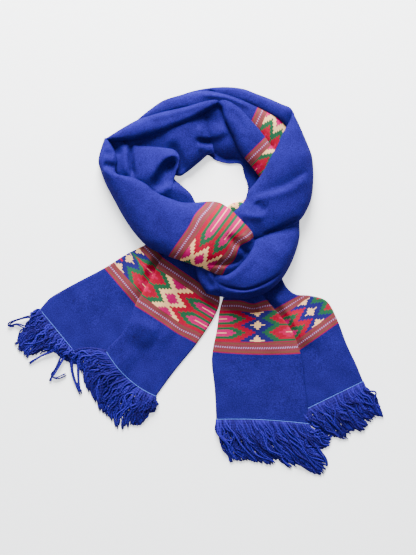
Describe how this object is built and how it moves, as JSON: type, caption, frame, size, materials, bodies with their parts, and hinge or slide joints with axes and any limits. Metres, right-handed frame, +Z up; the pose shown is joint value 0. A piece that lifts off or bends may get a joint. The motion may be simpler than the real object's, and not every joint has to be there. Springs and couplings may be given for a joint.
{
  "type": "pashmina shawl",
  "caption": "Blue wool shawl with woven patterned bands and yarn fringe, looped into a ring, knotted and laid flat with two tails.",
  "frame": {"origin": "on the surface that the shawl lies on, under the middle of its bounding box", "axes": "+Z up from that surface, +Y towards the top of the ring, away from the tails"},
  "size_m": [0.5972, 0.622, 0.0517],
  "materials": {
    "wool": "royal-blue wool cloth with a soft nap, crossed by red woven bands",
    "yarn": "twisted blue wool yarn"
  },
  "bodies": {
    "root": {"left_sweep": "wool", "right_sweep": "wool", "lower_loop": "wool", "top_roll": "wool", "inner_strand": "wool", "top_outer": "wool", "top_middle": "wool", "inner_left": "wool", "inner_fold": "wool", "inner_back": "wool", "knot_inner_band": "wool", "knot_tuck": "wool", "tail_left_over": "wool", "tail_left_under": "wool", "tail_right_front": "wool", "tail_right_rear": "wool", "fringe_left_under": "yarn", "fringe_left_over": "yarn", "fringe_right_front": "yarn", "fringe_right_rear": "yarn"}
  },
  "joints": []
}
